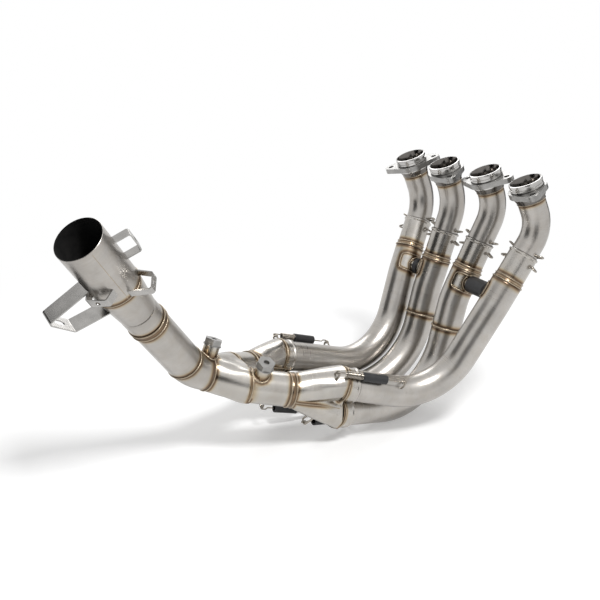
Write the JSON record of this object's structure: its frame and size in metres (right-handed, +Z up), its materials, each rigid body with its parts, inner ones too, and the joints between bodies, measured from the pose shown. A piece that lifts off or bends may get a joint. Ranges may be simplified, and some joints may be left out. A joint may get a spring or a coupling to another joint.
{
  "type": "exhaust header",
  "caption": "Exhaust header with inlet pipes in loose flanges, balance tubes, paired collectors, a merge and an outlet with brackets.",
  "frame": {"origin": "on the floor, under the middle of the header's bounding box", "axes": "+X to the front of the bike, +Y to its left, +Z up"},
  "size_m": [0.7162, 0.3314, 0.3843],
  "materials": {
    "machined_steel": "machined",
    "cast_flange": "satin cast",
    "pipe_metal": "brushed",
    "weld_metal": "heat tinted",
    "wire_steel": "bright drawn",
    "bracket_steel": "satin",
    "rubber": "matt"
  },
  "bodies": {
    "root": {"balance_saddle_1": "pipe_metal", "balance_saddle_2": "pipe_metal", "balance_saddle_3": "pipe_metal", "balance_saddle_4": "pipe_metal", "balance_sleeve_12": "rubber", "balance_sleeve_34": "rubber", "bracket_large": "bracket_steel", "bracket_side": "bracket_steel", "bracket_strap": "bracket_steel", "bracket_top": "bracket_steel", "collector_far": "pipe_metal", "collector_leg_1": "pipe_metal", "collector_leg_2": "pipe_metal", "collector_leg_3": "pipe_metal", "collector_leg_4": "pipe_metal", "collector_near": "pipe_metal", "collector_ring_far": "weld_metal", "collector_ring_near": "weld_metal", "collector_spring_hooks": "wire_steel", "collector_springs": "wire_steel", "inlet_ring_1": "machined_steel", "inlet_ring_2": "machined_steel", "inlet_ring_3": "machined_steel", "inlet_ring_4": "machined_steel", "lambda_bungs": "weld_metal", "lambda_plugs": "machined_steel", "lower_bend_2": "pipe_metal", "lower_bend_3": "pipe_metal", "merge_body": "pipe_metal", "outlet_band": "weld_metal", "outlet_cone": "pipe_metal", "outlet_elbow": "pipe_metal", "outlet_pipe": "pipe_metal", "outlet_sleeve": "pipe_metal", "port_flange_1": "cast_flange", "port_flange_2": "cast_flange", "port_flange_3": "cast_flange", "port_flange_4": "cast_flange", "primary_pipe_1": "pipe_metal", "primary_pipe_2": "pipe_metal", "primary_pipe_3": "pipe_metal", "primary_pipe_4": "pipe_metal", "reducer_ring_1": "weld_metal", "reducer_ring_2": "weld_metal", "reducer_ring_3": "weld_metal", "reducer_ring_4": "weld_metal", "secondary_pipe_far": "pipe_metal", "secondary_pipe_near": "pipe_metal", "slip_joint_hooks": "wire_steel", "slip_socket_1": "pipe_metal", "slip_socket_2": "pipe_metal", "slip_socket_3": "pipe_metal", "slip_socket_4": "pipe_metal", "spring_dampers": "rubber", "stub_pipe_1": "pipe_metal", "stub_pipe_2": "pipe_metal", "stub_pipe_3": "pipe_metal", "stub_pipe_4": "pipe_metal"}
  },
  "joints": []
}
